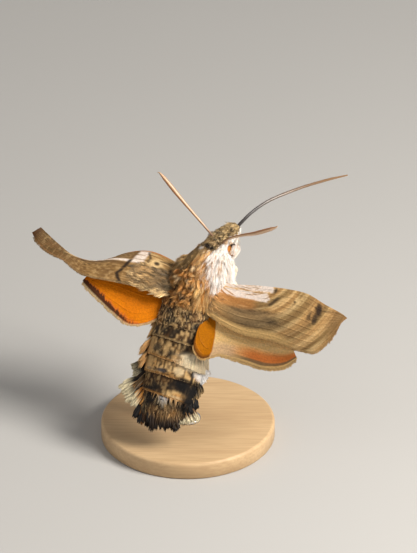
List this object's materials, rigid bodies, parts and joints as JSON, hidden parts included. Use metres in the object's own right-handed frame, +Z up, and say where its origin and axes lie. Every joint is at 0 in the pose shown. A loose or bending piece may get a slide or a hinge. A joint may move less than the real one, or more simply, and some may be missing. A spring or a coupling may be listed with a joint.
{
  "type": "hummingbird hawk moth model",
  "caption": "Still, life-size hummingbird hawk moth, hovering with spread wings, stretched proboscis and fanned tail, held above a plain round base by a short rod.",
  "frame": {"origin": "middle of the bottom of the whole model, on the surface that the base stands on", "axes": "+X to the moth's right across the spread wings, +Y the way it faces, +Z up"},
  "size_m": [0.0434, 0.0334, 0.0369],
  "materials": {
    "body_fur": "soft grey-brown fur, white on the breast and flanks",
    "abdomen_scales": "short grey-brown scale fur with dark and cream spots",
    "tail_scales": "long dark brown and black scales with pale side tufts",
    "eyes": "glossy dark brown compound eye",
    "antennae": "satin brown horn with fine rings",
    "proboscis": "satin dark brown tube, paler outwards",
    "forewings": "grey-brown scales with dark wavy lines",
    "hindwings": "orange scales with a dark margin",
    "legs": "pale brown scaled legs",
    "stand_rod": "satin steel rod",
    "stand_base": "oiled pale maple"
  },
  "bodies": {
    "root": {"head": "body_fur", "thorax": "body_fur", "abdomen": "abdomen_scales", "tail_fan": "tail_scales", "eye_left": "eyes", "eye_right": "eyes", "antenna_left": "antennae", "antenna_right": "antennae", "proboscis": "proboscis", "forewing_left": "forewings", "forewing_right": "forewings", "hindwing_left": "hindwings", "hindwing_right": "hindwings", "leg_front_left": "legs", "leg_front_right": "legs", "leg_mid_left": "legs", "leg_mid_right": "legs", "leg_hind_left": "legs", "leg_hind_right": "legs", "stand_rod": "stand_rod", "stand_base": "stand_base"}
  },
  "joints": []
}
